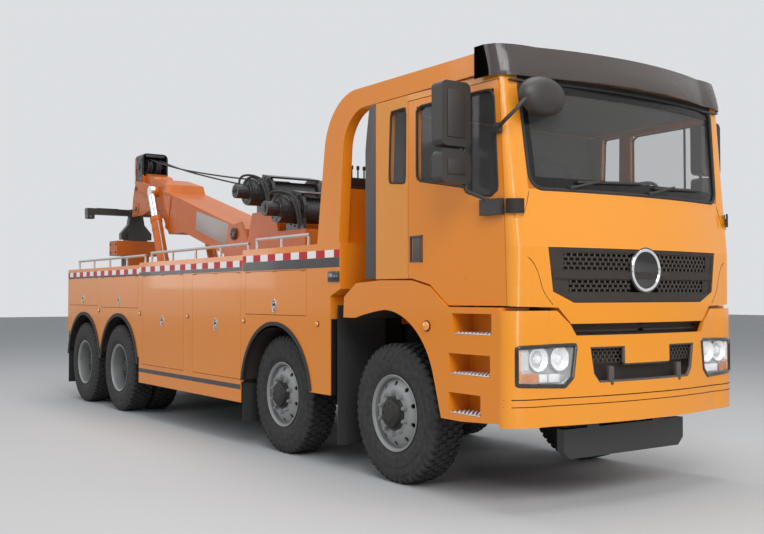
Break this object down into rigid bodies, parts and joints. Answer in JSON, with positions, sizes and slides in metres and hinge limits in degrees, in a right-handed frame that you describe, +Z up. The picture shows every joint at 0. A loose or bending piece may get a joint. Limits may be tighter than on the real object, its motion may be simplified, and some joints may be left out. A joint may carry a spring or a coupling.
{
  "type": "heavy recovery truck",
  "caption": "Heavy tow truck with twin steered front axles, side lockers, a lifting boom with winches and a folded rear underlift.",
  "frame": {"origin": "on the ground under the middle of the truck's length and width", "axes": "-Y towards the front bumper, +Y towards the tail, +X towards the driver's side (left), +Z up"},
  "size_m": [3.1, 10.572, 3.696],
  "materials": {
    "body_paint": "glossy amber orange",
    "black_paint": "satin black",
    "black_plastic": "dark, low sheen",
    "tyre_rubber": "matt",
    "rim_paint": "satin grey",
    "running_gear": "dull dark grey",
    "glass": "tinted, clear",
    "trim_dark": "dark grey cloth and plastic",
    "rubber": "matt",
    "stainless": "bright",
    "ram_chrome": "polished",
    "lens": "clear lens over chrome"
  },
  "bodies": {
    "truck": {"axles": "running_gear", "chassis": "black_paint", "powertrain": "running_gear", "cab_shell": "body_paint", "cab_glass": "glass", "cab_interior": "trim_dark", "cab_trim": "black_plastic", "bumper": "body_paint", "lamps": "lens", "step_wing_left": "body_paint", "step_wing_right": "body_paint", "arch": "body_paint", "locker_body": "body_paint", "mudguards": "rubber", "rails": "stainless", "recovery_base": "body_paint", "winches": "black_paint"},
    "knuckle_1_left": {"knuckle_1_left": "running_gear"},
    "wheel_1_left": {"tyre_1_left": "tyre_rubber", "rim_1_left": "rim_paint"},
    "knuckle_2_left": {"knuckle_2_left": "running_gear"},
    "wheel_2_left": {"tyre_2_left": "tyre_rubber", "rim_2_left": "rim_paint"},
    "wheel_3_left": {"tyre_3_left": "tyre_rubber", "rim_3_left": "rim_paint"},
    "wheel_4_left": {"tyre_4_left": "tyre_rubber", "rim_4_left": "rim_paint"},
    "cab_door_left": {"cab_door_left": "body_paint", "door_glass_left": "glass", "mirror_left": "black_plastic"},
    "locker_door_1_left": {"locker_door_1_left": "body_paint"},
    "locker_door_2_left": {"locker_door_2_left": "body_paint"},
    "locker_door_3_left": {"locker_door_3_left": "body_paint"},
    "locker_door_4_left": {"locker_door_4_left": "body_paint"},
    "locker_door_5_left": {"locker_door_5_left": "body_paint"},
    "knuckle_1_right": {"knuckle_1_right": "running_gear"},
    "wheel_1_right": {"tyre_1_right": "tyre_rubber", "rim_1_right": "rim_paint"},
    "knuckle_2_right": {"knuckle_2_right": "running_gear"},
    "wheel_2_right": {"tyre_2_right": "tyre_rubber", "rim_2_right": "rim_paint"},
    "wheel_3_right": {"tyre_3_right": "tyre_rubber", "rim_3_right": "rim_paint"},
    "wheel_4_right": {"tyre_4_right": "tyre_rubber", "rim_4_right": "rim_paint"},
    "cab_door_right": {"cab_door_right": "body_paint", "door_glass_right": "glass", "mirror_right": "black_plastic"},
    "locker_door_1_right": {"locker_door_1_right": "body_paint"},
    "locker_door_2_right": {"locker_door_2_right": "body_paint"},
    "locker_door_3_right": {"locker_door_3_right": "body_paint"},
    "locker_door_4_right": {"locker_door_4_right": "body_paint"},
    "locker_door_5_right": {"locker_door_5_right": "body_paint"},
    "boom": {"boom": "body_paint"},
    "boom_inner": {"boom_inner": "body_paint"},
    "ram_barrels": {"ram_barrels": "body_paint"},
    "ram_rods": {"ram_rods": "ram_chrome"},
    "underlift_arm": {"underlift_arm": "black_paint"},
    "underlift_slider": {"underlift_slider": "body_paint"},
    "underlift_crossbar": {"underlift_crossbar": "black_paint"}
  },
  "joints": [
    {"name": "steer_1_left", "type": "hinge", "parent": "truck", "child": "knuckle_1_left", "pos_m": [0.85, -3.674, 0.56], "axis": [0, 0, 1], "range_deg": [-32, 32]},
    {"name": "spin_1_left", "type": "hinge", "parent": "knuckle_1_left", "child": "wheel_1_left", "pos_m": [1.007, -3.674, 0.56], "axis": [1, 0, 0], "continuous": true},
    {"name": "steer_2_left", "type": "hinge", "parent": "truck", "child": "knuckle_2_left", "pos_m": [0.85, -1.844, 0.56], "axis": [0, 0, 1], "range_deg": [-23.1, 23.1]},
    {"name": "spin_2_left", "type": "hinge", "parent": "knuckle_2_left", "child": "wheel_2_left", "pos_m": [1.007, -1.844, 0.56], "axis": [1, 0, 0], "continuous": true},
    {"name": "spin_3_left", "type": "hinge", "parent": "truck", "child": "wheel_3_left", "pos_m": [0.913, 2.396, 0.56], "axis": [1, 0, 0], "continuous": true},
    {"name": "spin_4_left", "type": "hinge", "parent": "truck", "child": "wheel_4_left", "pos_m": [0.913, 3.78, 0.56], "axis": [1, 0, 0], "continuous": true},
    {"name": "cab_door_left_hinge", "type": "hinge", "parent": "truck", "child": "cab_door_left", "pos_m": [1.207, -5.077, 2.2], "axis": [0, 0, -1], "range_deg": [0, 70]},
    {"name": "locker_door_1_left_hinge", "type": "hinge", "parent": "truck", "child": "locker_door_1_left", "pos_m": [1.245, -1.855, 1.735], "axis": [0, -1, 0], "range_deg": [0, 90]},
    {"name": "locker_door_2_left_hinge", "type": "hinge", "parent": "truck", "child": "locker_door_2_left", "pos_m": [1.245, -0.563, 1.74], "axis": [0, -1, 0], "range_deg": [0, 90]},
    {"name": "locker_door_3_left_hinge", "type": "hinge", "parent": "truck", "child": "locker_door_3_left", "pos_m": [1.245, 0.901, 1.745], "axis": [0, -1, 0], "range_deg": [0, 90]},
    {"name": "locker_door_4_left_hinge", "type": "hinge", "parent": "truck", "child": "locker_door_4_left", "pos_m": [1.245, 2.376, 1.75], "axis": [0, -1, 0], "range_deg": [0, 90]},
    {"name": "locker_door_5_left_hinge", "type": "hinge", "parent": "truck", "child": "locker_door_5_left", "pos_m": [1.245, 3.83, 1.75], "axis": [0, -1, 0], "range_deg": [0, 90]},
    {"name": "steer_1_right", "type": "hinge", "parent": "truck", "child": "knuckle_1_right", "pos_m": [-0.85, -3.674, 0.56], "axis": [0, 0, 1], "range_deg": [-32, 32]},
    {"name": "spin_1_right", "type": "hinge", "parent": "knuckle_1_right", "child": "wheel_1_right", "pos_m": [-1.007, -3.674, 0.56], "axis": [1, 0, 0], "continuous": true},
    {"name": "steer_2_right", "type": "hinge", "parent": "truck", "child": "knuckle_2_right", "pos_m": [-0.85, -1.844, 0.56], "axis": [0, 0, 1], "range_deg": [-23.1, 23.1]},
    {"name": "spin_2_right", "type": "hinge", "parent": "knuckle_2_right", "child": "wheel_2_right", "pos_m": [-1.007, -1.844, 0.56], "axis": [1, 0, 0], "continuous": true},
    {"name": "spin_3_right", "type": "hinge", "parent": "truck", "child": "wheel_3_right", "pos_m": [-0.913, 2.396, 0.56], "axis": [1, 0, 0], "continuous": true},
    {"name": "spin_4_right", "type": "hinge", "parent": "truck", "child": "wheel_4_right", "pos_m": [-0.913, 3.78, 0.56], "axis": [1, 0, 0], "continuous": true},
    {"name": "cab_door_right_hinge", "type": "hinge", "parent": "truck", "child": "cab_door_right", "pos_m": [-1.207, -5.077, 2.2], "axis": [0, 0, 1], "range_deg": [0, 70]},
    {"name": "locker_door_1_right_hinge", "type": "hinge", "parent": "truck", "child": "locker_door_1_right", "pos_m": [-1.245, -1.855, 1.735], "axis": [0, 1, 0], "range_deg": [0, 90]},
    {"name": "locker_door_2_right_hinge", "type": "hinge", "parent": "truck", "child": "locker_door_2_right", "pos_m": [-1.245, -0.563, 1.74], "axis": [0, 1, 0], "range_deg": [0, 90]},
    {"name": "locker_door_3_right_hinge", "type": "hinge", "parent": "truck", "child": "locker_door_3_right", "pos_m": [-1.245, 0.901, 1.745], "axis": [0, 1, 0], "range_deg": [0, 90]},
    {"name": "locker_door_4_right_hinge", "type": "hinge", "parent": "truck", "child": "locker_door_4_right", "pos_m": [-1.245, 2.376, 1.75], "axis": [0, 1, 0], "range_deg": [0, 90]},
    {"name": "locker_door_5_right_hinge", "type": "hinge", "parent": "truck", "child": "locker_door_5_right", "pos_m": [-1.245, 3.83, 1.75], "axis": [0, 1, 0], "range_deg": [0, 90]},
    {"name": "boom_lift", "type": "hinge", "parent": "truck", "child": "boom", "pos_m": [0, 0.746, 2.26], "axis": [1, 0, 0], "range_deg": [-9, 24]},
    {"name": "boom_extend", "type": "slide", "parent": "boom", "child": "boom_inner", "axis": [0, 0.9636, 0.2672], "range_m": [0, 1.2]},
    {"name": "ram_swing", "type": "hinge", "parent": "truck", "child": "ram_barrels", "pos_m": [0, 2.673, 1.36], "axis": [1, 0, 0], "range_deg": [-8.2, 21.7]},
    {"name": "ram_stroke", "type": "slide", "parent": "ram_barrels", "child": "ram_rods", "axis": [0, 0.4138, 0.9104], "range_m": [-0.33, 0.88]},
    {"name": "underlift_fold", "type": "hinge", "parent": "truck", "child": "underlift_arm", "pos_m": [0, 4.886, 0.76], "axis": [-1, 0, 0], "range_deg": [0, 90]},
    {"name": "underlift_extend", "type": "slide", "parent": "underlift_arm", "child": "underlift_slider", "axis": [0, 0, 1], "range_m": [0, 0.8]},
    {"name": "crossbar_swivel", "type": "hinge", "parent": "underlift_slider", "child": "underlift_crossbar", "pos_m": [0, 5.216, 2.84], "axis": [0, 1, 0], "range_deg": [-45, 45]}
  ],
  "couplings": [
    {"joint": "steer_1_right", "follows": "steer_1_left", "ratio": 1},
    {"joint": "steer_2_left", "follows": "steer_1_left", "ratio": 0.72},
    {"joint": "steer_2_right", "follows": "steer_1_left", "ratio": 0.72},
    {"joint": "ram_swing", "follows": "boom_lift", "ratio": 0.9},
    {"joint": "ram_stroke", "follows": "boom_lift", "m_per_rad": 2.0856}
  ]
}
